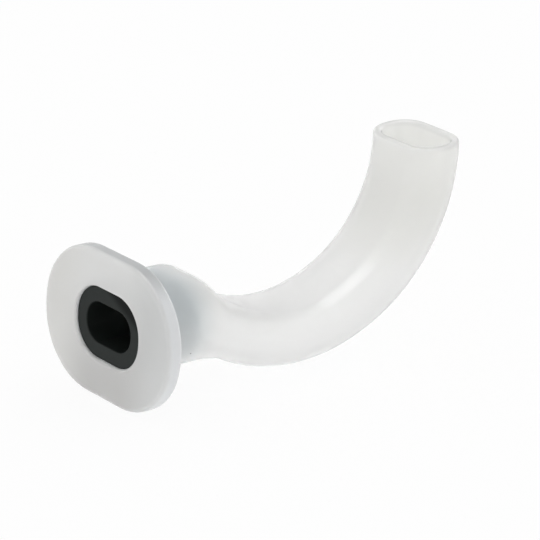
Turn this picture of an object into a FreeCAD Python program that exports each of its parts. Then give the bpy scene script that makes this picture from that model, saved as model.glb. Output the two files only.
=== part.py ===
# Oropharyngeal airway of 60 mm nominal length.
# One moulding of translucent plastic carries the flange, the oval bite portion
# and the curved tube that follows the roof of the mouth.
# A hard insert, in the colour of the size code, is pressed into the bite portion.
# Sizes are in millimetres and degrees.
# X runs across the width, Y from the flange into the mouth, Z up.
# The flange stands on its lower flat, and the belly of the bend comes down to half a millimetre above it.

import FreeCAD
import Part
import Sketcher
import math
import os

SIZES = [
    ("flange_width", 29.2),
    ("flange_height", 22.0),
    ("flange_thickness", 2.4),
    ("flange_side_flat", 0.8),
    ("flange_front_round", 0.6),
    ("flange_back_round", 0.4),
    ("root_round", 0.5),
    ("insert_width", 14.6),
    ("insert_height", 11.1),
    ("insert_side_flat", 0.6),
    ("insert_length", 10.9),
    ("insert_recess", 0.5),
    ("insert_bore_width", 10.2),
    ("insert_bore_height", 6.4),
    ("insert_bore_flat", 0.3),
    ("insert_mouth_round", 0.35),
    ("insert_edge_round", 0.2),
    ("press_clearance", 0.02),
    ("pocket_lip_round", 0.45),
    ("bite_wall", 1.0),
    ("shoulder_setback", 1.3),
    ("shoulder_length", 7.1),
    ("shoulder_sink", 0.25),
    ("throat_run", 2.2),
    ("kink_angle", 27.0),
    ("neck_run", 7.1),
    ("neck_width", 14.8),
    ("neck_height", 8.1),
    ("first_bend_radius", 27.7),
    ("first_bend_angle", 57.0),
    ("second_bend_radius", 24.0),
    ("second_bend_angle", 64.7),
    ("tip_width", 14.3),
    ("tip_height", 9.6),
    ("tube_side_flat", 0.8),
    ("tube_side_wall", 0.9),
    ("tube_flat_wall", 1.2),
    ("tip_outer_round", 0.5),
    ("tip_inner_round", 0.25),
]

# Loft sections after the first one, from the bite portion down to the neck
SHOULDER_STEPS = 4

# An edge within this distance of a plane lies on it, and a volume changed by less is unchanged
NEAR = 0.01

BITE_WIDTH = "(Sizes.insert_width + 2 * Sizes.bite_wall)"
BITE_HEIGHT = "(Sizes.insert_height + 2 * Sizes.bite_wall)"
NECK_DROP = "(Sizes.neck_run * sin(Sizes.kink_angle))"
INSERT_END = "(Sizes.insert_recess + Sizes.insert_length)"
SHOULDER_START = "(Sizes.insert_recess + Sizes.insert_length + Sizes.shoulder_setback)"
KINK_DEPTH = "(Sizes.insert_recess + Sizes.insert_length + Sizes.throat_run)"
LUMEN_NECK_WIDTH = "(Sizes.neck_width - 2 * Sizes.tube_side_wall)"
LUMEN_NECK_HEIGHT = "(Sizes.neck_height - 2 * Sizes.tube_flat_wall)"

doc = FreeCAD.newDocument("Airway")
sheet = doc.addObject("Spreadsheet::Sheet", "Sizes")
for row, (size_name, number) in enumerate(SIZES, start=1):
    sheet.set("A%d" % row, size_name)
    sheet.set("B%d" % row, str(number))
    sheet.setAlias("B%d" % row, size_name)
doc.recompute()


def value(expression):
    """Number that an expression of the named sizes comes to."""
    return float(sheet.evalExpression(str(expression)))


def new_body(name):
    body = doc.addObject("PartDesign::Body", name)
    body.Label = name
    return body


def new_sketch(body, name, role):
    """Sketch on one of the body's own origin planes."""
    sketch = body.newObject("Sketcher::SketchObject", name)
    plane = [part for part in body.Origin.OriginFeatures if part.Role == role][0]
    sketch.AttachmentSupport = [(plane, "")]
    sketch.MapMode = "FlatFace"
    return sketch


def bind(sketch, index, name, expression):
    """Name one constraint of a sketch and tie it to the sizes."""
    sketch.renameConstraint(index, name)
    sketch.setExpression("Constraints." + name, expression)


def place_across(sketch, depth, rise, tilt):
    """Set a section at a depth along Y and a height along Z, turned up by the tilt."""
    sketch.AttachmentOffset = FreeCAD.Placement(
        FreeCAD.Vector(0, value(rise), -value(depth)),
        FreeCAD.Rotation(FreeCAD.Vector(1, 0, 0), value(tilt)))
    sketch.setExpression("AttachmentOffset.Base.y", rise)
    sketch.setExpression("AttachmentOffset.Base.z", "-(%s)" % depth)
    if value(tilt) != 0:
        sketch.setExpression("AttachmentOffset.Rotation.Angle", tilt)


def flat_oval(body, name, width, height, side_flat, depth="0", rise="0", tilt="0"):
    """Closed outline across the Y axis, flat above and below and round at the sides.

    Every argument after the name is an expression of the named sizes.
    """
    sketch = new_sketch(body, name, "XZ_Plane")
    place_across(sketch, depth, rise, tilt)
    half_width = value(width) / 2
    half_height = value(height) / 2
    half_flat = value(side_flat) / 2
    radius = half_height - half_flat
    side = half_width - radius
    quarter = math.pi / 2

    def line(x1, y1, x2, y2):
        sketch.addGeometry(Part.LineSegment(FreeCAD.Vector(x1, y1, 0), FreeCAD.Vector(x2, y2, 0)))

    def corner(x, y, turn):
        circle = Part.Circle(FreeCAD.Vector(x, y, 0), FreeCAD.Vector(0, 0, 1), radius)
        sketch.addGeometry(Part.ArcOfCircle(circle, turn * quarter, (turn + 1) * quarter))

    line(half_width, -half_flat, half_width, half_flat)
    corner(side, half_flat, 0)
    line(side, half_height, -side, half_height)
    corner(-side, half_flat, 1)
    line(-half_width, half_flat, -half_width, -half_flat)
    corner(-side, -half_flat, 2)
    line(-side, -half_height, side, -half_height)
    corner(side, -half_flat, 3)
    right, upper, left, lower = 0, 2, 4, 6
    first_corner, other_corners = 1, (3, 5, 7)
    for piece in range(sketch.GeometryCount):
        following = (piece + 1) % sketch.GeometryCount
        sketch.addConstraint(Sketcher.Constraint("Tangent", piece, 2, following, 1))
    sketch.addConstraint(Sketcher.Constraint("Vertical", right))
    sketch.addConstraint(Sketcher.Constraint("Vertical", left))
    sketch.addConstraint(Sketcher.Constraint("Horizontal", upper))
    sketch.addConstraint(Sketcher.Constraint("Horizontal", lower))
    for other in other_corners:
        sketch.addConstraint(Sketcher.Constraint("Equal", first_corner, other))
    sketch.addConstraint(Sketcher.Constraint("Symmetric", right, 2, left, 2, -1, 1))
    across = sketch.addConstraint(Sketcher.Constraint("DistanceX", left, 1, right, 2, 2 * half_width))
    bind(sketch, across, "across", width)
    tall = sketch.addConstraint(Sketcher.Constraint("DistanceY", lower, 1, upper, 2, 2 * half_height))
    bind(sketch, tall, "tall", height)
    flat = sketch.addConstraint(Sketcher.Constraint("DistanceY", right, 1, right, 2, 2 * half_flat))
    bind(sketch, flat, "side_flat", side_flat)
    return sketch


def pad(body, name, sketch, length):
    """Solid from an outline, growing along +Y."""
    feature = body.newObject("PartDesign::Pad", name)
    feature.Profile = sketch
    feature.Reversed = True
    feature.setExpression("Length", length)
    doc.recompute()
    return feature


def pocket(body, name, sketch, length):
    """Hollow from an outline, sinking along +Y."""
    before = body.Shape.Volume
    feature = body.newObject("PartDesign::Pocket", name)
    feature.Profile = sketch
    feature.setExpression("Length", length)
    doc.recompute()
    if body.Shape.Volume > before - NEAR:
        raise RuntimeError(name + " cuts nothing")
    return feature


def cross_plane(depth, rise="0", tilt="0"):
    """Plane across the passage, as a point on it and its normal."""
    point = FreeCAD.Vector(0, value(depth), value(rise))
    heading = math.radians(value(tilt))
    return point, FreeCAD.Vector(0, math.cos(heading), math.sin(heading))


def rim(shape, plane, opening=False):
    """Names of the edges round the face on a plane: its outer rim, or its opening."""
    point, normal = plane
    faces = [
        face for face in shape.Faces
        if all(abs((vertex.Point - point).dot(normal)) < NEAR for vertex in face.Vertexes)]
    face = max(faces, key=lambda each: each.Area)
    wires = [wire for wire in face.Wires if wire.isSame(face.OuterWire) != opening]
    wanted = [edge for wire in wires for edge in wire.Edges]
    return [
        "Edge%d" % number for number, edge in enumerate(shape.Edges, start=1)
        if any(edge.isSame(other) for other in wanted)]


def fillet(body, name, edge_names, radius):
    """Round the named edges of the body as it stands."""
    if not edge_names:
        raise RuntimeError(name + " finds no edge")
    base = body.Tip
    feature = body.newObject("PartDesign::Fillet", name)
    feature.Base = (base, edge_names)
    feature.setExpression("Radius", radius)
    doc.recompute()
    return feature


def centre_line(body):
    """Path of the tube: a straight neck that leaves the bite axis downwards, then two bends up."""
    spine = new_sketch(body, "centre_line", "YZ_Plane")
    kink = math.radians(value("Sizes.kink_angle"))
    run = value("Sizes.neck_run")
    start = FreeCAD.Vector(value(KINK_DEPTH), 0, 0)
    place = start + FreeCAD.Vector(run * math.cos(kink), -run * math.sin(kink), 0)
    spine.addGeometry(Part.LineSegment(start, place))
    heading = -kink
    for bend in ("first", "second"):
        radius = value("Sizes.%s_bend_radius" % bend)
        turn = math.radians(value("Sizes.%s_bend_angle" % bend))
        centre = place + FreeCAD.Vector(-radius * math.sin(heading), radius * math.cos(heading), 0)
        circle = Part.Circle(centre, FreeCAD.Vector(0, 0, 1), radius)
        from_angle = heading - math.pi / 2
        spine.addGeometry(Part.ArcOfCircle(circle, from_angle, from_angle + turn))
        heading += turn
        place = centre + FreeCAD.Vector(radius * math.sin(heading), -radius * math.cos(heading), 0)
    neck, first, second = 0, 1, 2
    depth = spine.addConstraint(Sketcher.Constraint("DistanceX", -1, 1, neck, 1, start.x))
    bind(spine, depth, "kink_depth", KINK_DEPTH)
    spine.addConstraint(Sketcher.Constraint("PointOnObject", neck, 1, -1))
    slope = spine.addConstraint(Sketcher.Constraint("Angle", neck, -kink))
    bind(spine, slope, "kink_angle", "-Sizes.kink_angle * 1 deg")
    length = spine.addConstraint(Sketcher.Constraint("Distance", neck, run))
    bind(spine, length, "neck_run", "Sizes.neck_run")
    for before, arc, bend in ((neck, first, "first"), (first, second, "second")):
        spine.addConstraint(Sketcher.Constraint("Tangent", before, 2, arc, 1))
        radius = spine.addConstraint(Sketcher.Constraint("Radius", arc, value("Sizes.%s_bend_radius" % bend)))
        bind(spine, radius, bend + "_radius", "Sizes.%s_bend_radius" % bend)
        turn = math.radians(value("Sizes.%s_bend_angle" % bend))
        sweep = spine.addConstraint(Sketcher.Constraint("Angle", arc, turn))
        bind(spine, sweep, bend + "_sweep", "Sizes.%s_bend_angle * 1 deg" % bend)
    references = (
        ("tip_depth", "DistanceX", second, 2),
        ("tip_rise", "DistanceY", second, 2),
        ("last_centre_depth", "DistanceX", second, 3),
    )
    for name, direction, arc, point in references:
        measure = spine.addConstraint(Sketcher.Constraint(direction, -1, 1, arc, point, place.x))
        spine.setDriving(measure, False)
        spine.renameConstraint(measure, name)
    doc.recompute()
    return spine


def loft(body, kind, name, outlines):
    """Blend from the first outline through the others."""
    before = body.Shape.Volume
    feature = body.newObject(kind, name)
    feature.Profile = outlines[0]
    feature.Sections = [(outline, [""]) for outline in outlines[1:]]
    doc.recompute()
    if abs(body.Shape.Volume - before) < NEAR:
        raise RuntimeError(name + " changes nothing")
    return feature


def tube_pipe(body, kind, name, spine, start_outline, tip_outline):
    """Sweep from the start outline to the tip outline along the centre line."""
    before = body.Shape.Volume
    feature = body.newObject(kind, name)
    feature.Profile = start_outline
    feature.Spine = (spine, [])
    feature.Transformation = "Multisection"
    feature.Sections = [(tip_outline, [""])]
    doc.recompute()
    if abs(body.Shape.Volume - before) < NEAR:
        raise RuntimeError(name + " changes nothing")
    return feature


def shoulder(body):
    """Loft that carries the tall bite portion down into the low neck of the tube."""
    outlines = []
    for step in range(SHOULDER_STEPS + 1):
        share = step / SHOULDER_STEPS
        fall = 3 * share ** 2 - 2 * share ** 3
        blend = "(%s * %g + (%s - 2 * Sizes.shoulder_sink) * %g)"
        outlines.append(flat_oval(
            body, "shoulder_outline_%d" % step,
            width=blend % (BITE_WIDTH, 1 - fall, "Sizes.neck_width", fall),
            height=blend % (BITE_HEIGHT, 1 - fall, "Sizes.neck_height", fall),
            side_flat="(Sizes.insert_side_flat * %g + Sizes.tube_side_flat * %g)" % (1 - fall, fall),
            depth="%s + Sizes.shoulder_length * %g" % (SHOULDER_START, share),
            rise="-%s * %g" % (NECK_DROP, fall)))
    return loft(body, "PartDesign::AdditiveLoft", "shoulder", outlines)


def make_airway_body():
    """Flange, bite portion, shoulder and tube in one moulding, with the passage through them."""
    body = new_body("airway_body")
    front = cross_plane("0")
    back = cross_plane("Sizes.flange_thickness")

    flange_outline = flat_oval(
        body, "flange_outline", "Sizes.flange_width", "Sizes.flange_height", "Sizes.flange_side_flat")
    pad(body, "flange", flange_outline, "Sizes.flange_thickness")
    fillet(body, "flange_front_edge", rim(body.Shape, front), "Sizes.flange_front_round")
    fillet(body, "flange_back_edge", rim(body.Shape, back), "Sizes.flange_back_round")

    bite_outline = flat_oval(
        body, "bite_outline", BITE_WIDTH, BITE_HEIGHT, "Sizes.insert_side_flat",
        depth="Sizes.flange_thickness")
    pad(body, "bite_portion", bite_outline, SHOULDER_START + " - Sizes.flange_thickness")
    fillet(body, "flange_root", rim(body.Shape, back, opening=True), "Sizes.root_round")

    shoulder(body)

    spine = centre_line(body)
    start = {"depth": KINK_DEPTH, "tilt": "-Sizes.kink_angle"}
    tip = {
        "depth": "centre_line.Constraints.tip_depth",
        "rise": "centre_line.Constraints.tip_rise",
        "tilt": "Sizes.first_bend_angle + Sizes.second_bend_angle - Sizes.kink_angle",
    }
    tube_start = flat_oval(
        body, "tube_start", "Sizes.neck_width", "Sizes.neck_height", "Sizes.tube_side_flat", **start)
    tube_tip = flat_oval(
        body, "tube_tip", "Sizes.tip_width", "Sizes.tip_height", "Sizes.tube_side_flat", **tip)
    tube_pipe(body, "PartDesign::AdditivePipe", "tube", spine, tube_start, tube_tip)

    pocket_outline = flat_oval(
        body, "pocket_outline",
        "Sizes.insert_width + 2 * Sizes.press_clearance",
        "Sizes.insert_height + 2 * Sizes.press_clearance",
        "Sizes.insert_side_flat")
    pocket(body, "insert_pocket", pocket_outline, INSERT_END)
    throat_outline = flat_oval(
        body, "throat_outline", LUMEN_NECK_WIDTH, LUMEN_NECK_HEIGHT, "Sizes.tube_side_flat",
        depth=INSERT_END)
    lumen_start = flat_oval(
        body, "lumen_start", LUMEN_NECK_WIDTH, LUMEN_NECK_HEIGHT, "Sizes.tube_side_flat", **start)
    lumen_tip = flat_oval(
        body, "lumen_tip",
        "Sizes.tip_width - 2 * Sizes.tube_side_wall",
        "Sizes.tip_height - 2 * Sizes.tube_flat_wall",
        "Sizes.tube_side_flat", **tip)
    loft(body, "PartDesign::SubtractiveLoft", "throat", [throat_outline, lumen_start])
    tube_pipe(body, "PartDesign::SubtractivePipe", "lumen", spine, lumen_start, lumen_tip)

    tip_plane = cross_plane(**tip)
    fillet(body, "pocket_lip", rim(body.Shape, front, opening=True), "Sizes.pocket_lip_round")
    fillet(body, "tip_outer_edge", rim(body.Shape, tip_plane), "Sizes.tip_outer_round")
    fillet(body, "tip_inner_edge", rim(body.Shape, tip_plane, opening=True), "Sizes.tip_inner_round")
    return body


def make_bite_insert():
    """Hard oval ring that the teeth close on, seated on the shoulder of its pocket."""
    body = new_body("bite_insert")
    face = cross_plane("Sizes.insert_recess")
    outline = flat_oval(
        body, "insert_outline", "Sizes.insert_width", "Sizes.insert_height",
        "Sizes.insert_side_flat", depth="Sizes.insert_recess")
    pad(body, "insert_block", outline, "Sizes.insert_length")
    bore_outline = flat_oval(
        body, "bore_outline", "Sizes.insert_bore_width", "Sizes.insert_bore_height",
        "Sizes.insert_bore_flat", depth="Sizes.insert_recess")
    pocket(body, "insert_bore", bore_outline, "Sizes.insert_length")
    fillet(body, "bore_mouth", rim(body.Shape, face, opening=True), "Sizes.insert_mouth_round")
    fillet(body, "insert_edge", rim(body.Shape, face), "Sizes.insert_edge_round")
    return body


def stand(body):
    """Set a body with the middle of the whole length at Y = 0 and the flange's lower flat at Z = 0."""
    far_end = "(%s / 1 mm + Sizes.second_bend_radius + Sizes.tip_height / 2)" % (
        "centre_line.Constraints.last_centre_depth")
    body.setExpression("Placement.Base.y", "-%s / 2" % far_end)
    body.setExpression("Placement.Base.z", "Sizes.flange_height / 2")
    doc.recompute()


bodies = [make_airway_body(), make_bite_insert()]
for body in bodies:
    stand(body)

for item in doc.Objects:
    if "Invalid" in item.State or "Error" in item.State:
        raise RuntimeError("%s failed: %s" % (item.Name, item.State))
for body in bodies:
    if body.Shape.isNull() or not body.Shape.isValid():
        raise RuntimeError("%s has no valid shape" % body.Label)

os.makedirs("parts", exist_ok=True)
for body in bodies:
    body.Shape.exportStep("parts/%s.step" % body.Label)
    print(body.Label, round(body.Shape.Volume, 1), "mm3", body.Shape.optimalBoundingBox())
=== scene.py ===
import math

import bpy
import numpy as np
from mathutils import Matrix, Vector


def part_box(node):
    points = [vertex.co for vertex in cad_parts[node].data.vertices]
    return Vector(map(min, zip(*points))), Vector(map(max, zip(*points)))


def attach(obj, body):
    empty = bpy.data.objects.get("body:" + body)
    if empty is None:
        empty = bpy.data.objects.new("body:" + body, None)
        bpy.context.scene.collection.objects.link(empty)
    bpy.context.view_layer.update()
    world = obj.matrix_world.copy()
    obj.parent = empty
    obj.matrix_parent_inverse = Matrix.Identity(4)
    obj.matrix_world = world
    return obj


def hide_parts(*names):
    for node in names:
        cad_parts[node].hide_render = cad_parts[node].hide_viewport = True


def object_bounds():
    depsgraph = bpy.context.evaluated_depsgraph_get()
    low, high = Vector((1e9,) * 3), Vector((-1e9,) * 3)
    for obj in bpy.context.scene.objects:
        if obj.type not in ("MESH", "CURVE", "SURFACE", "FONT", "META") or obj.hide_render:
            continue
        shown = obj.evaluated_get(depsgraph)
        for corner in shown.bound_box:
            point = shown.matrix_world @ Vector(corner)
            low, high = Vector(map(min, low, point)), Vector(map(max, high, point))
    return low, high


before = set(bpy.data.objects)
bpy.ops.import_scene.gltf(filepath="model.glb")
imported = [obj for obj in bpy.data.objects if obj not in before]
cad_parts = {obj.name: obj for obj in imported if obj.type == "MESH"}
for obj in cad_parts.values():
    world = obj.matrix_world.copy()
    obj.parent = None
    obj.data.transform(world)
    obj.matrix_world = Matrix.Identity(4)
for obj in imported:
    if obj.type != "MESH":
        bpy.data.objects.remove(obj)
CAD_LOW, CAD_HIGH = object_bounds()

MM = 0.001

BODY_LOW, BODY_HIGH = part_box("airway_body")
INSERT_LOW, INSERT_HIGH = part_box("bite_insert")

# The flange is the widest part, has its front at the lowest Y and its lower edge at the lowest Z
FLANGE_WIDTH = (BODY_HIGH.x - BODY_LOW.x) / MM
INSERT_WIDTH = (INSERT_HIGH.x - INSERT_LOW.x) / MM
INSERT_HEIGHT = (INSERT_HIGH.z - INSERT_LOW.z) / MM
INSERT_FACE = (INSERT_LOW.y - BODY_LOW.y) / MM
INSERT_END = (INSERT_HIGH.y - BODY_LOW.y) / MM
AXIS_RISE = (INSERT_LOW.z + INSERT_HIGH.z) / 2 / MM
FLANGE_HEIGHT = 2 * (AXIS_RISE - BODY_LOW.z / MM)

FLANGE_THICKNESS = 2.4
FLANGE_SIDE_FLAT = 0.8
FLANGE_FRONT_ROUND = 0.6
FLANGE_BACK_ROUND = 0.4
ROOT_ROUND = 0.5
POCKET_LIP_ROUND = 0.45
BITE_WALL = 1.0

# The photograph shows the insert a little higher and less tall than its solid
INSERT_LIFT = 0.12
INSERT_SIDE_FLAT = 0.6
INSERT_FRONT_ROUND = 0.2
INSERT_BACK_ROUND = 1.9
INSERT_MOUTH_ROUND = 0.15
INSERT_BORE = (10.2, 6.2)
INSERT_BORE_FLAT = 0.3
PRESS_CLEARANCE = 0.02

SHOULDER_START = INSERT_END + 1.3
SHOULDER_LENGTH = 8.7
SHOULDER_SINK = 0.25
CREASE_BLEND = 0.35
CREASE_FADE = 2.5

# The neck slopes straight down from the kink, and each bend has a radius and a turn
KINK_DEPTH = INSERT_END + 2.2
KINK_ANGLE = 27.0
NECK_RUN = 7.1
NECK_SIZE = (14.8, 8.1)
BENDS = ((27.7, 57.0), (24.0, 64.7))
TIP_SIZE = (14.3, 9.6)
TUBE_SIDE_FLAT = 0.8
TUBE_SIDE_WALL = 1.3
TUBE_FLAT_WALL = 1.2
TIP_OUTER_ROUND = 0.5
TIP_INNER_ROUND = 0.4

BITE_SIZE = (INSERT_WIDTH + 2 * BITE_WALL, INSERT_HEIGHT + 2 * BITE_WALL)
SEEN_HEIGHT = INSERT_HEIGHT - 2 * INSERT_LIFT
POCKET_SIZE = (INSERT_WIDTH + 2 * PRESS_CLEARANCE, SEEN_HEIGHT + 2 * PRESS_CLEARANCE)
TUBE_LENGTH = NECK_RUN + sum(radius * math.radians(turn) for radius, turn in BENDS)

# The shoulder's rings go on past the neck, into the first bend
SHOULDER_REACH = NECK_RUN + 3.0

# Points round a section: along each side flat, each corner and each broad flat
SIDE_STEPS = 3
CORNER_STEPS = 28
BROAD_STEPS = 18

# Rings along the object
SHOULDER_STEPS = 110
TUBE_STEPS = 84
PASSAGE_STEPS = 90
THROAT_STEPS = 8

# The shoulder's surface is looked for outwards at each probe, and then by halving the gap
PROBE_REACH = 9.0
PROBE_COUNT = 361
PROBE_HALVINGS = 24


def section_points():
    """Where each point of a section sits on its side flats and broad flats, and the way it faces."""
    across, up, facing = [], [], []
    for turn, (x, z) in enumerate(((1, 1), (-1, 1), (-1, -1), (1, -1))):
        start = math.radians(90 * turn)
        if turn % 2 == 0:
            for step in range(SIDE_STEPS):
                across.append(x)
                up.append(z * (2 * step / SIDE_STEPS - 1))
                facing.append(start)
        for step in range(CORNER_STEPS):
            across.append(x)
            up.append(z)
            facing.append(start + math.pi / 2 * step / CORNER_STEPS)
        if turn % 2 == 0:
            for step in range(BROAD_STEPS):
                across.append(x * (1 - 2 * step / BROAD_STEPS))
                up.append(z)
                facing.append(start + math.pi / 2)
    return np.array(across), np.array(up), np.array(facing)


ACROSS, UP, FACING = section_points()


def flat_oval(size, side_flat, inset=0.0):
    """Points of a flat oval section, moved inwards by the inset."""
    half_flat = side_flat / 2
    radius = size[1] / 2 - half_flat
    side = size[0] / 2 - radius
    x = ACROSS * side + (radius - inset) * np.cos(FACING)
    z = UP * half_flat + (radius - inset) * np.sin(FACING)
    return np.stack([x, z], axis=1)


def across_plane(points, depth, rise=0.0, heading=0.0):
    """Section points set in space, on a plane square to a heading in radians above +Y."""
    y = depth - points[:, 1] * math.sin(heading)
    z = rise + points[:, 1] * math.cos(heading)
    return np.stack([points[:, 0], y, z], axis=1)


def mix(first, second, share):
    return first + (second - first) * share


def smooth(share):
    """The share, eased so that it starts and ends level."""
    return share * share * (3 - 2 * share)


def eased(steps):
    """Shares from 0 to 1 that crowd towards both ends, so that a flat stays flat next to a round."""
    return [(1 - math.cos(math.pi * step / steps)) / 2 for step in range(steps + 1)]


def round_off(radius, steps):
    """Insets and advances of a round that leaves a wall and ends in a flat across it."""
    angles = [math.pi / 2 * step / steps for step in range(steps + 1)]
    return [(radius * (1 - math.cos(angle)), radius * math.sin(angle)) for angle in angles]


def round_on(radius, steps):
    """Insets and advances of a round that leaves a flat and ends in a wall across it."""
    angles = [math.pi / 2 * step / steps for step in range(steps + 1)]
    return [(radius * (1 - math.sin(angle)), radius * (1 - math.cos(angle))) for angle in angles]


def along_tube(length):
    """Depth, rise and heading of the centre line at a length from the kink."""
    heading = -math.radians(KINK_ANGLE)
    run = min(length, NECK_RUN)
    depth = KINK_DEPTH + run * math.cos(heading)
    rise = run * math.sin(heading)
    left = length - run
    for radius, turn in BENDS:
        bend = min(left / radius, math.radians(turn))
        depth += radius * (math.sin(heading + bend) - math.sin(heading))
        rise -= radius * (math.cos(heading + bend) - math.cos(heading))
        heading += bend
        left -= bend * radius
    return depth, rise, heading


def tube_size(length, side_wall=0.0, flat_wall=0.0):
    """Width and height of the tube at a length from the kink, less its walls where they are given."""
    share = length / TUBE_LENGTH
    width = mix(NECK_SIZE[0], TIP_SIZE[0], share) - 2 * side_wall
    height = mix(NECK_SIZE[1], TIP_SIZE[1], share) - 2 * flat_wall
    return width, height


def oval_distance(x, z, width, height, side_flat):
    """Signed distance from flat ovals, by arrays."""
    half_flat = side_flat / 2
    radius = height / 2 - half_flat
    side = width / 2 - radius
    out_x = np.abs(x) - side
    out_z = np.abs(z) - half_flat
    outside = np.hypot(np.maximum(out_x, 0), np.maximum(out_z, 0))
    return outside + np.minimum(np.maximum(out_x, out_z), 0) - radius


def shoulder_distance(x, y, z):
    """Signed distance from the bite portion and the shoulder that falls from it to the neck."""
    fall = smooth(np.clip((y - SHOULDER_START) / SHOULDER_LENGTH, 0, 1))
    drop = NECK_RUN * math.sin(math.radians(KINK_ANGLE))
    width = mix(BITE_SIZE[0], NECK_SIZE[0] - 2 * SHOULDER_SINK, fall)
    height = mix(BITE_SIZE[1], NECK_SIZE[1] - 2 * SHOULDER_SINK, fall)
    side_flat = mix(INSERT_SIDE_FLAT, TUBE_SIDE_FLAT, fall)
    distance = oval_distance(x, z + drop * fall, width, height, side_flat)
    return np.maximum(distance, y - SHOULDER_START - SHOULDER_LENGTH)


def neck_distance(x, y, z):
    """Signed distance from the neck and the start of the first bend."""
    heading = -math.radians(KINK_ANGLE)
    forward = (y - KINK_DEPTH) * math.cos(heading) + z * math.sin(heading)
    rise = -(y - KINK_DEPTH) * math.sin(heading) + z * math.cos(heading)
    radius = BENDS[0][0]
    beyond = forward - NECK_RUN
    bent_rise = radius - np.hypot(beyond, radius - rise)
    bent_length = NECK_RUN + radius * np.arctan2(beyond, radius - rise)
    in_bend = beyond > 0
    rise = np.where(in_bend, bent_rise, rise)
    length = np.where(in_bend, bent_length, forward)
    width, height = tube_size(np.clip(length, 0, TUBE_LENGTH))
    distance = oval_distance(x, rise, width, height, TUBE_SIDE_FLAT)
    return np.maximum(distance, -forward)


def moulding_distance(x, y, z):
    """Signed distance from shoulder and neck, blended where they meet and less so near the end."""
    first = shoulder_distance(x, y, z)
    second = neck_distance(x, y, z)
    left = SHOULDER_START + SHOULDER_LENGTH - y
    least = 0.001
    reach = CREASE_BLEND * np.clip(left / CREASE_FADE, least, 1)
    near = np.maximum(reach - np.abs(first - second), 0) / reach
    return np.minimum(first, second) - near * near * reach / 4


def shoulder_ring(share):
    """Outer ring at a share of the way from the straight bite portion to the first bend."""
    length = mix(SHOULDER_START - KINK_DEPTH, SHOULDER_REACH, share)
    depth, rise, _ = along_tube(length)
    heading = along_tube(SHOULDER_REACH)[2] * smooth(share)
    half_flat = mix(INSERT_SIDE_FLAT, TUBE_SIDE_FLAT, share) / 2
    bite_side = (BITE_SIZE[0] - BITE_SIZE[1] + INSERT_SIDE_FLAT) / 2
    width, height = tube_size(max(length, 0))
    side = mix(bite_side, (width - height + TUBE_SIDE_FLAT) / 2, share)

    def is_inside(outwards):
        x = ACROSS[:, None] * side + outwards * np.cos(FACING)[:, None]
        up = UP[:, None] * half_flat + outwards * np.sin(FACING)[:, None]
        y = depth - up * math.sin(heading)
        return moulding_distance(x, y, rise + up * math.cos(heading)) < 0

    probes = np.linspace(0, PROBE_REACH, PROBE_COUNT)
    inside = is_inside(probes[None, :] * np.ones((len(FACING), 1)))
    last = len(probes) - 1 - np.argmax(inside[:, ::-1], axis=1)
    low = probes[last]
    high = probes[np.minimum(last + 1, len(probes) - 1)]
    for _ in range(PROBE_HALVINGS):
        middle = (low + high) / 2
        within = is_inside(middle[:, None])[:, 0]
        low = np.where(within, middle, low)
        high = np.where(within, high, middle)
    x = ACROSS * side + low * np.cos(FACING)
    up = UP * half_flat + low * np.sin(FACING)
    return across_plane(np.stack([x, up], axis=1), depth, rise, heading)


def flange_rings():
    """Rings from the pocket's lip over the flange's face, round its edge and down its back."""
    flange = (FLANGE_WIDTH, FLANGE_HEIGHT)
    back = FLANGE_THICKNESS - FLANGE_BACK_ROUND
    rings = []

    def add(points, depth, rise=0.0):
        rings.append(across_plane(points, depth, rise))

    for inset, ahead in round_off(POCKET_LIP_ROUND, steps=6):
        lip = flat_oval(POCKET_SIZE, INSERT_SIDE_FLAT, -inset)
        add(lip, POCKET_LIP_ROUND - ahead, INSERT_LIFT)
    inner = flat_oval(POCKET_SIZE, INSERT_SIDE_FLAT, -POCKET_LIP_ROUND)
    outer = flat_oval(flange, FLANGE_SIDE_FLAT, FLANGE_FRONT_ROUND)
    for share in eased(steps=16)[1:-1]:
        add(mix(inner, outer, share), 0.0, mix(INSERT_LIFT, 0.0, share))
    for inset, ahead in round_on(FLANGE_FRONT_ROUND, steps=8):
        add(flat_oval(flange, FLANGE_SIDE_FLAT, inset), ahead)
    for share in eased(steps=6)[1:-1]:
        add(flat_oval(flange, FLANGE_SIDE_FLAT), mix(FLANGE_FRONT_ROUND, back, share))
    for inset, ahead in round_off(FLANGE_BACK_ROUND, steps=6):
        add(flat_oval(flange, FLANGE_SIDE_FLAT, inset), back + ahead)
    outer = flat_oval(flange, FLANGE_SIDE_FLAT, FLANGE_BACK_ROUND)
    inner = flat_oval(BITE_SIZE, INSERT_SIDE_FLAT, -ROOT_ROUND)
    for share in eased(steps=10)[1:-1]:
        add(mix(outer, inner, share), FLANGE_THICKNESS)
    return rings


def bite_rings():
    """Rings of the rounded root behind the flange and of the straight bite portion."""
    rings = []
    for inset, ahead in round_on(ROOT_ROUND, steps=6):
        root = flat_oval(BITE_SIZE, INSERT_SIDE_FLAT, -inset)
        rings.append(across_plane(root, FLANGE_THICKNESS + ahead))
    for share in eased(steps=14)[1:]:
        depth = mix(FLANGE_THICKNESS + ROOT_ROUND, SHOULDER_START, share)
        rings.append(across_plane(flat_oval(BITE_SIZE, INSERT_SIDE_FLAT), depth))
    return rings


def shoulder_rings():
    """Outer rings from the end of the straight bite portion to the start of the first bend."""
    return [shoulder_ring(step / SHOULDER_STEPS) for step in range(1, SHOULDER_STEPS + 1)]


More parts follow.
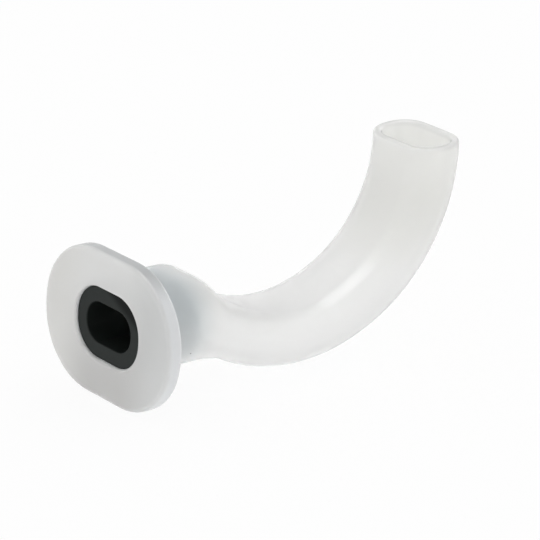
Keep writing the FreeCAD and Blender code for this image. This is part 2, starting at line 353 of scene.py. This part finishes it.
def tube_rings():
    """Outer rings along the bends, and the rounded rim of the tip."""
    straight = TUBE_LENGTH - TIP_OUTER_ROUND
    rings = []

    def add(points, length):
        rings.append(across_plane(points, *along_tube(length)))

    for step in range(1, TUBE_STEPS):
        length = mix(SHOULDER_REACH, straight, step / TUBE_STEPS)
        add(flat_oval(tube_size(length), TUBE_SIDE_FLAT), length)
    for inset, ahead in round_off(TIP_OUTER_ROUND, steps=6):
        add(flat_oval(TIP_SIZE, TUBE_SIDE_FLAT, inset), straight + ahead)
    mouth = tube_size(TUBE_LENGTH, TUBE_SIDE_WALL, TUBE_FLAT_WALL)
    outer = flat_oval(TIP_SIZE, TUBE_SIDE_FLAT, TIP_OUTER_ROUND)
    inner = flat_oval(mouth, TUBE_SIDE_FLAT, -TIP_INNER_ROUND)
    for share in eased(steps=3)[1:-1]:
        add(mix(outer, inner, share), TUBE_LENGTH)
    for inset, ahead in round_on(TIP_INNER_ROUND, steps=4):
        add(flat_oval(mouth, TUBE_SIDE_FLAT, -inset), TUBE_LENGTH - ahead)
    return rings


def passage_rings():
    """Rings back through the passage to the kink, and on through the throat to the pocket's end."""
    rings = []
    for step in range(1, PASSAGE_STEPS + 1):
        length = (TUBE_LENGTH - TIP_INNER_ROUND) * (1 - step / PASSAGE_STEPS)
        size = tube_size(length, TUBE_SIDE_WALL, TUBE_FLAT_WALL)
        rings.append(across_plane(flat_oval(size, TUBE_SIDE_FLAT), *along_tube(length)))
    throat = flat_oval(tube_size(0, TUBE_SIDE_WALL, TUBE_FLAT_WALL), TUBE_SIDE_FLAT)
    for step in range(1, THROAT_STEPS + 1):
        share = step / THROAT_STEPS
        heading = -math.radians(KINK_ANGLE) * (1 - share)
        rings.append(across_plane(throat, mix(KINK_DEPTH, INSERT_END, share), 0.0, heading))
    return rings


def pocket_rings():
    """Rings of the pocket's end, and of its walls out to the lip."""
    rings = []
    throat = flat_oval(tube_size(0, TUBE_SIDE_WALL, TUBE_FLAT_WALL), TUBE_SIDE_FLAT)
    pocket = flat_oval(POCKET_SIZE, INSERT_SIDE_FLAT)
    for share in eased(steps=6)[1:]:
        rings.append(across_plane(mix(throat, pocket, share), INSERT_END, INSERT_LIFT * share))
    for share in eased(steps=12)[1:-1]:
        rings.append(across_plane(pocket, mix(INSERT_END, POCKET_LIP_ROUND, share), INSERT_LIFT))
    return rings


def body_rings():
    """Rings of the moulding, round the outside to the tip and back inside to the pocket."""
    outside = flange_rings() + bite_rings() + shoulder_rings() + tube_rings()
    return outside + passage_rings() + pocket_rings()


def insert_rings():
    """Rings of the insert, from the mouth of its bore round the outside and back through the bore."""
    outline = (INSERT_WIDTH, SEEN_HEIGHT)
    front, back = INSERT_FACE + INSERT_FRONT_ROUND, INSERT_END - INSERT_BACK_ROUND
    mouth = INSERT_FACE + INSERT_MOUTH_ROUND
    rings = []

    def add(points, depth):
        rings.append(across_plane(points, depth, INSERT_LIFT))

    for inset, ahead in round_off(INSERT_MOUTH_ROUND, steps=6):
        add(flat_oval(INSERT_BORE, INSERT_BORE_FLAT, -inset), mouth - ahead)
    inner = flat_oval(INSERT_BORE, INSERT_BORE_FLAT, -INSERT_MOUTH_ROUND)
    outer = flat_oval(outline, INSERT_SIDE_FLAT, INSERT_FRONT_ROUND)
    for share in eased(steps=6)[1:-1]:
        add(mix(inner, outer, share), INSERT_FACE)
    for inset, ahead in round_on(INSERT_FRONT_ROUND, steps=10):
        add(flat_oval(outline, INSERT_SIDE_FLAT, inset), INSERT_FACE + ahead)
    for share in eased(steps=12)[1:-1]:
        add(flat_oval(outline, INSERT_SIDE_FLAT), mix(front, back, share))
    for inset, ahead in round_off(INSERT_BACK_ROUND, steps=12):
        add(flat_oval(outline, INSERT_SIDE_FLAT, inset), back + ahead)
    outer = flat_oval(outline, INSERT_SIDE_FLAT, INSERT_BACK_ROUND)
    bore = flat_oval(INSERT_BORE, INSERT_BORE_FLAT)
    for share in eased(steps=5)[1:]:
        add(mix(outer, bore, share), INSERT_END)
    for share in eased(steps=14)[1:-1]:
        add(bore, mix(INSERT_END, mouth, share))
    return rings


def ring_mesh(name, rings):
    """Closed mesh through rings that all have the same count of points, the last joined to the first."""
    around = len(rings[0])
    points = np.concatenate(rings) + np.array([0.0, BODY_LOW.y / MM, AXIS_RISE])
    faces = []
    for ring in range(len(rings)):
        following = (ring + 1) % len(rings)
        for index in range(around):
            after = (index + 1) % around
            faces.append((
                ring * around + index,
                following * around + index,
                following * around + after,
                ring * around + after))
    mesh = bpy.data.meshes.new(name)
    mesh.from_pydata((points * MM).tolist(), [], faces)
    mesh.validate()
    mesh.shade_smooth()
    piece = bpy.data.objects.new(name, mesh)
    bpy.context.scene.collection.objects.link(piece)
    return piece


def new_material(name):
    material = bpy.data.materials.new(name)
    material.use_nodes = True
    nodes = material.node_tree.nodes
    return material, nodes, material.node_tree.links, nodes["Principled BSDF"]


def own_place(nodes, links):
    """Place in the object's own space, whole and as X, Y and Z."""
    place = nodes.new("ShaderNodeTexCoord").outputs["Object"]
    parts = nodes.new("ShaderNodeSeparateXYZ")
    links.new(place, parts.inputs[0])
    return place, parts.outputs["X"], parts.outputs["Y"], parts.outputs["Z"]


def vector_value(nodes, links, operation, place, other):
    """One number from the place and a fixed vector, such as their distance or dot product."""
    worked = nodes.new("ShaderNodeVectorMath")
    worked.operation = operation
    links.new(place, worked.inputs[0])
    worked.inputs[1].default_value = other
    return worked.outputs["Value"]


def noise(nodes, links, place, scale, detail):
    """Noise texture in the object's own space, with the scale in waves per metre."""
    texture = nodes.new("ShaderNodeTexNoise")
    texture.inputs["Scale"].default_value = scale
    texture.inputs["Detail"].default_value = detail
    texture.inputs["Roughness"].default_value = 0.5
    links.new(place, texture.inputs["Vector"])
    return texture.outputs["Fac"]


def blend(nodes, links, share, low, high):
    """Mix of two colours, each a tuple or a socket, by a share that is a socket."""
    mixed = nodes.new("ShaderNodeMix")
    mixed.data_type = "RGBA"
    links.new(share, mixed.inputs["Factor"])
    for name, colour in (("A", low), ("B", high)):
        if isinstance(colour, tuple):
            mixed.inputs[name].default_value = (*colour, 1)
        else:
            links.new(colour, mixed.inputs[name])
    return mixed.outputs["Result"]


def veiled(nodes, links, colour, cloud, dim):
    """The colour, dimmed in the clouds of a noise down to a share of itself."""
    veil = nodes.new("ShaderNodeMix")
    veil.data_type = "RGBA"
    veil.blend_type = "MULTIPLY"
    veil.inputs["Factor"].default_value = 1.0
    links.new(colour, veil.inputs["A"])
    links.new(blend(nodes, links, cloud, (dim, dim, dim), (1.0, 1.0, 1.0)), veil.inputs["B"])
    return veil.outputs["Result"]


def zone(nodes, links, source, origin, ends, low=0.0, high=1.0):
    """Value that eases from low to high between two ends, in millimetres from an origin."""
    run = nodes.new("ShaderNodeMapRange")
    run.interpolation_type = "SMOOTHSTEP"
    run.inputs["From Min"].default_value = (origin + ends[0]) * MM
    run.inputs["From Max"].default_value = (origin + ends[1]) * MM
    run.inputs["To Min"].default_value = low
    run.inputs["To Max"].default_value = high
    links.new(source, run.inputs["Value"])
    return run.outputs["Result"]


def bump(nodes, links, height, distance, strength=1.0):
    relief = nodes.new("ShaderNodeBump")
    relief.inputs["Strength"].default_value = strength
    relief.inputs["Distance"].default_value = distance
    links.new(height, relief.inputs["Height"])
    return relief.outputs["Normal"]


# Colours of the moulding's zones, which carry painted light and shade, and how clear the flange and the
# tube are
FACE_LOW_PAINTED_SHADE = (0.57, 0.565, 0.555)
FACE_HIGH_PAINTED_LIGHT = (0.79, 0.79, 0.78)
FACE_LEFT_PAINTED_LIGHT = (0.74, 0.735, 0.715)
FACE_RIGHT_PAINTED_SHADING = (0.68, 0.685, 0.68)
SIDE_LOW_PAINTED_LIGHT = (0.79, 0.80, 0.81)
SIDE_HIGH_PAINTED_SHADE = (0.54, 0.55, 0.555)
BITE_LOW_PAINTED_SHADE = (0.86, 0.885, 0.89)
BITE_HIGH_PAINTED_SHADE = (0.72, 0.76, 0.775)
TUBE_LOW_PAINTED_LIGHT = (0.99, 0.99, 0.985)
TUBE_HIGH_PAINTED_SHADE = (0.87, 0.87, 0.855)
TUBE_END_PAINTED_LIGHT = (0.905, 0.905, 0.89)
TIP_RIM_PAINTED_SHADE = (0.82, 0.82, 0.81)
FLANGE_CLEAR = 0.3
TUBE_CLEAR = 0.5

# Where each zone starts and ends: heights above the ground, places across, depths behind the
# flange's face, rises above the axis, and drops below the tip's highest point as negative numbers
FACE_HEIGHTS = (0.1 * FLANGE_HEIGHT, 0.9 * FLANGE_HEIGHT)
SIDE_HEIGHTS = (0.84 * FLANGE_HEIGHT, FLANGE_HEIGHT)
FACE_LEFT_ACROSS = (-3.0, -12.0)
FACE_RIGHT_ACROSS = (3.0, 12.0)
FACE_EDGE_DEPTHS = (0.02, 0.8)
FLANGE_BACK_DEPTHS = (FLANGE_THICKNESS - 0.02, FLANGE_THICKNESS + 0.6)
BITE_PAINTED_SHADE_END_DEPTHS = (9.5, 15.5)
BITE_RISES = (-4.0, 6.0)
TUBE_RISES = (-7.0, 12.0)
TUBE_END_DROPS = (-9.0, -3.0)
TIP_DROPS = (-1.1, -0.5)

# A speck of dirt in the side of the bite portion, by place across, depth and rise
SPECK_PLACE = (7.6, 9.8, -3.2)
SPECK_RADIUS = 0.09
SPECK_EDGE = (1.6 * SPECK_RADIUS, SPECK_RADIUS)
SPECK_COLOUR = (0.12, 0.12, 0.12)


def moulding_colour_and_painted_shading(nodes, links, place, across, depth, height):
    """Painted light and shade in the colour: grey flange, bluish painted shade of the insert round it,
    nearly white tube lighter below, and the speck.
    """
    ground = BODY_LOW.z / MM
    front = BODY_LOW.y / MM
    top = BODY_HIGH.z / MM
    # Painted shade on the flange's face: darker towards the bottom, lighter towards the left, and
    # lighter low but darker high on the right
    up_face = zone(nodes, links, height, ground, FACE_HEIGHTS)
    face = blend(nodes, links, up_face, FACE_LOW_PAINTED_SHADE, FACE_HIGH_PAINTED_LIGHT)
    to_left = zone(nodes, links, across, 0.0, FACE_LEFT_ACROSS)
    face = blend(nodes, links, to_left, face, FACE_LEFT_PAINTED_LIGHT)
    to_right = zone(nodes, links, across, 0.0, FACE_RIGHT_ACROSS)
    face = blend(nodes, links, to_right, face, FACE_RIGHT_PAINTED_SHADING)
    # Painted shade on the flange's side band: darker towards its top and lighter lower down
    up_side = zone(nodes, links, height, ground, SIDE_HEIGHTS)
    side = blend(nodes, links, up_side, SIDE_LOW_PAINTED_LIGHT, SIDE_HIGH_PAINTED_SHADE)
    past_face = zone(nodes, links, depth, front, FACE_EDGE_DEPTHS)
    flange = blend(nodes, links, past_face, face, side)

    # Painted shade of the black insert showing through the bite portion's wall, darker towards the top
    up_bite = zone(nodes, links, height, AXIS_RISE, BITE_RISES)
    bite = blend(nodes, links, up_bite, BITE_LOW_PAINTED_SHADE, BITE_HIGH_PAINTED_SHADE)
    # Painted light and shade on the tube: lighter below, where the floor lights it, and darker above
    up_tube = zone(nodes, links, height, AXIS_RISE, TUBE_RISES)
    tube = blend(nodes, links, up_tube, TUBE_LOW_PAINTED_LIGHT, TUBE_HIGH_PAINTED_SHADE)
    # Painted light towards the tube's end, which lightens the passage seen through the tip
    to_end = zone(nodes, links, height, top, TUBE_END_DROPS)
    tube = blend(nodes, links, to_end, tube, TUBE_END_PAINTED_LIGHT)
    # Painted shade on the tip's rim, darker than the passage inside it
    at_tip = zone(nodes, links, height, top, TIP_DROPS)
    tube = blend(nodes, links, at_tip, tube, TIP_RIM_PAINTED_SHADE)
    # The painted shade of the insert fades into the tube past the insert's end
    past_insert = zone(nodes, links, depth, front, BITE_PAINTED_SHADE_END_DEPTHS)
    behind = blend(nodes, links, past_insert, bite, tube)
    past_flange = zone(nodes, links, depth, front, FLANGE_BACK_DEPTHS)
    painted_shading = blend(nodes, links, past_flange, flange, behind)

    speck_place = Vector(SPECK_PLACE) + Vector((0.0, front, AXIS_RISE))
    away = vector_value(nodes, links, "DISTANCE", place, speck_place * MM)
    speck = zone(nodes, links, away, 0.0, SPECK_EDGE)
    return blend(nodes, links, speck, painted_shading, SPECK_COLOUR)


def milky_plastic():
    """Translucent white moulding with a wavy gloss. Light goes on through its wall, and its colour
    carries painted light and shade.
    """
    material, nodes, links, shader = new_material("milky_plastic")
    place, across, depth, height = own_place(nodes, links)
    base = moulding_colour_and_painted_shading(nodes, links, place, across, depth, height)
    cloud = noise(nodes, links, place, scale=160, detail=2)
    links.new(veiled(nodes, links, base, cloud, dim=0.985), shader.inputs["Base Color"])

    front = BODY_LOW.y / MM
    clear = zone(nodes, links, depth, front, FLANGE_BACK_DEPTHS, FLANGE_CLEAR, TUBE_CLEAR)
    links.new(clear, shader.inputs["Transmission Weight"])
    shader.inputs["Subsurface Weight"].default_value = 1.0
    shader.inputs["Subsurface Radius"].default_value = (1.0, 1.0, 1.0)
    shader.inputs["Subsurface Scale"].default_value = 1.4 * MM
    shader.inputs["Roughness"].default_value = 0.7
    shader.inputs["IOR"].default_value = 1.2
    shader.inputs["Coat Weight"].default_value = 0.5
    shader.inputs["Coat Roughness"].default_value = 0.12
    shader.inputs["Coat IOR"].default_value = 1.5
    swell = noise(nodes, links, place, scale=420, detail=3)
    links.new(bump(nodes, links, swell, distance=0.008 * MM), shader.inputs["Coat Normal"])
    return material


# Black, with a painted sheen that greys the insert's face
INSERT_FACE_BLACK_AND_PAINTED_SHEEN = (0.024, 0.028, 0.0265)
INSERT_PAINTED_SHADE_COLOUR = (0.003, 0.004, 0.0038)
INSERT_DEEP_PAINTED_SHADE = (0.011, 0.0135, 0.0125)

# Painted shade darkens the face along a direction, between two distances from the axis, and behind
# the face a painted shade of the outside and the bore starts between two depths
INSERT_PAINTED_SHADE_WAY = (0.45, 0.0, 0.89)
INSERT_PAINTED_SHADE_REACH = (3.9, 5.4)
INSERT_DEEP_DEPTHS = (0.02, 0.25)


def black_plastic():
    """Hard satin black moulding with a fine grain, a little greyer on its face by a painted sheen, with
    painted shade at the face's edge and deeper in.
    """
    material, nodes, links, shader = new_material("black_plastic")
    place, _, depth, _ = own_place(nodes, links)
    # Painted shade along the face's upper right edge, under the flange's lip
    outwards = vector_value(nodes, links, "DOT_PRODUCT", place, INSERT_PAINTED_SHADE_WAY)
    axis = INSERT_PAINTED_SHADE_WAY[2] * AXIS_RISE
    to_edge = zone(nodes, links, outwards, axis, INSERT_PAINTED_SHADE_REACH)
    face = blend(nodes, links, to_edge, INSERT_FACE_BLACK_AND_PAINTED_SHEEN, INSERT_PAINTED_SHADE_COLOUR)
    # Painted shade round the insert's sides and in its bore, behind the face
    past_face = zone(nodes, links, depth, INSERT_LOW.y / MM, INSERT_DEEP_DEPTHS)
    base = blend(nodes, links, past_face, face, INSERT_DEEP_PAINTED_SHADE)
    cloud = noise(nodes, links, place, scale=900, detail=3)
    links.new(veiled(nodes, links, base, cloud, dim=0.8), shader.inputs["Base Color"])
    shader.inputs["Roughness"].default_value = 0.36
    shader.inputs["IOR"].default_value = 1.5
    shader.inputs["Specular IOR Level"].default_value = 0.07
    grain = noise(nodes, links, place, scale=6000, detail=4)
    relief = bump(nodes, links, grain, distance=0.01 * MM, strength=0.5)
    links.new(relief, shader.inputs["Normal"])
    return material


# A share of the floor's look is its own glow, and the rest takes the object's shadow
FLOOR_GLOW = 0.9
FLOOR_HALF_WIDTH = 3000.0
FLOOR_GAP = 0.02


def floor_paper():
    """White glowing sheet, like the top of a light table, that takes a share of the object's shadow."""
    material, nodes, links, shader = new_material("floor_paper")
    shader.inputs["Base Color"].default_value = (0.95, 0.95, 0.95, 1)
    shader.inputs["Roughness"].default_value = 0.9
    glow = nodes.new("ShaderNodeEmission")
    glow.inputs["Color"].default_value = (1, 1, 1, 1)
    glow.inputs["Strength"].default_value = 1.0
    both = nodes.new("ShaderNodeMixShader")
    both.inputs["Fac"].default_value = FLOOR_GLOW
    links.new(shader.outputs[0], both.inputs[1])
    links.new(glow.outputs[0], both.inputs[2])
    links.new(both.outputs[0], nodes["Material Output"].inputs["Surface"])
    return material


def make_floor(material):
    mesh = bpy.data.meshes.new("floor")
    half = FLOOR_HALF_WIDTH * MM
    below = BODY_LOW.z - FLOOR_GAP * MM
    corners = [(-half, -half, below), (half, -half, below), (half, half, below), (-half, half, below)]
    mesh.from_pydata(corners, [], [(0, 1, 2, 3)])
    mesh.materials.append(material)
    piece = bpy.data.objects.new("floor", mesh)
    bpy.context.scene.collection.objects.link(piece)


def background_rays(nodes, links):
    """1 for rays that show the background: from the camera, or seen in gloss or through glass."""
    rays = nodes.new("ShaderNodeLightPath").outputs
    total = rays["Is Camera Ray"]
    for kind in ("Is Glossy Ray", "Is Transmission Ray"):
        larger = nodes.new("ShaderNodeMath")
        larger.operation = "MAXIMUM"
        links.new(total, larger.inputs[0])
        links.new(rays[kind], larger.inputs[1])
        total = larger.outputs[0]
    return total


def make_world(light):
    """Even pale surroundings that light the object, seen as white."""
    world = bpy.data.worlds.new("studio")
    bpy.context.scene.world = world
    world.use_nodes = True
    nodes = world.node_tree.nodes
    links = world.node_tree.links
    around = nodes["Background"]
    around.inputs["Color"].default_value = (1, 1, 1, 1)
    around.inputs["Strength"].default_value = light
    seen = nodes.new("ShaderNodeBackground")
    seen.inputs["Color"].default_value = (1, 1, 1, 1)
    seen.inputs["Strength"].default_value = 1.0
    both = nodes.new("ShaderNodeMixShader")
    links.new(background_rays(nodes, links), both.inputs["Fac"])
    links.new(around.outputs[0], both.inputs[1])
    links.new(seen.outputs[0], both.inputs[2])
    links.new(both.outputs[0], nodes["World Output"].inputs["Surface"])


def direction(azimuth, elevation):
    """Unit vector towards a viewer or lamp: azimuth 0 stands on the flange's side, 90 on +X."""
    a, e = math.radians(azimuth), math.radians(elevation)
    return Vector((math.sin(a) * math.cos(e), -math.cos(a) * math.cos(e), math.sin(e)))


def make_soft_box(name, azimuth, elevation, distance, width, height, strength):
    """Rectangular lamp, in metres, that faces the middle of the object and shows only in its gloss."""
    lamp = bpy.data.lights.new(name, "AREA")
    lamp.shape = "RECTANGLE"
    lamp.size = width
    lamp.size_y = height
    lamp.energy = strength
    piece = bpy.data.objects.new(name, lamp)
    towards = direction(azimuth, elevation)
    middle = (CAD_LOW + CAD_HIGH) / 2
    piece.location = middle + towards * distance
    piece.rotation_mode = "QUATERNION"
    piece.rotation_quaternion = towards.to_track_quat("Z", "Y")
    piece.visible_diffuse = False
    piece.visible_transmission = False
    bpy.context.scene.collection.objects.link(piece)


CAMERA_AZIMUTH = 48.432
CAMERA_ELEVATION = 20.114
CAMERA_ROLL = 4.074
CAMERA_DISTANCE = 478.84
CAMERA_TARGET = (0.0, 30.587, 3.279)
CAMERA_LENS = 214.77
SENSOR_WIDTH = 36.0


def make_camera():
    """Camera at the photograph's angle, aimed at a point given by place across, depth and rise."""
    data = bpy.data.cameras.new("camera")
    data.lens = CAMERA_LENS
    data.sensor_width = SENSOR_WIDTH
    camera = bpy.data.objects.new("camera", data)
    bpy.context.scene.collection.objects.link(camera)
    target = (Vector(CAMERA_TARGET) + Vector((0.0, BODY_LOW.y / MM, AXIS_RISE))) * MM
    back = direction(CAMERA_AZIMUTH, CAMERA_ELEVATION)
    azimuth = math.radians(CAMERA_AZIMUTH)
    level = Vector((math.cos(azimuth), math.sin(azimuth), 0))
    upright = back.cross(level)
    roll = math.radians(CAMERA_ROLL)
    right = level * math.cos(roll) + upright * math.sin(roll)
    up = upright * math.cos(roll) - level * math.sin(roll)
    turn = Matrix((right, up, back)).transposed()
    camera.matrix_world = Matrix.Translation(target + back * CAMERA_DISTANCE * MM) @ turn.to_4x4()
    bpy.context.scene.camera = camera


airway = ring_mesh("airway_moulding", body_rings())
airway.data.materials.append(milky_plastic())
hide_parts("airway_body")
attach(airway, "root")

insert = ring_mesh("insert_ring", insert_rings())
insert.data.materials.append(black_plastic())
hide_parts("bite_insert")
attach(insert, "root")

make_floor(floor_paper())
make_world(light=0.92)
make_soft_box(
    "overhead", azimuth=270, elevation=84, distance=0.55, width=0.48, height=0.53, strength=3.6)
make_camera()

# Light crosses the thin walls many times before it leaves
LIGHT_BOUNCES = 12
bpy.context.scene.cycles.diffuse_bounces = LIGHT_BOUNCES
bpy.context.scene.view_settings.view_transform = "Standard"
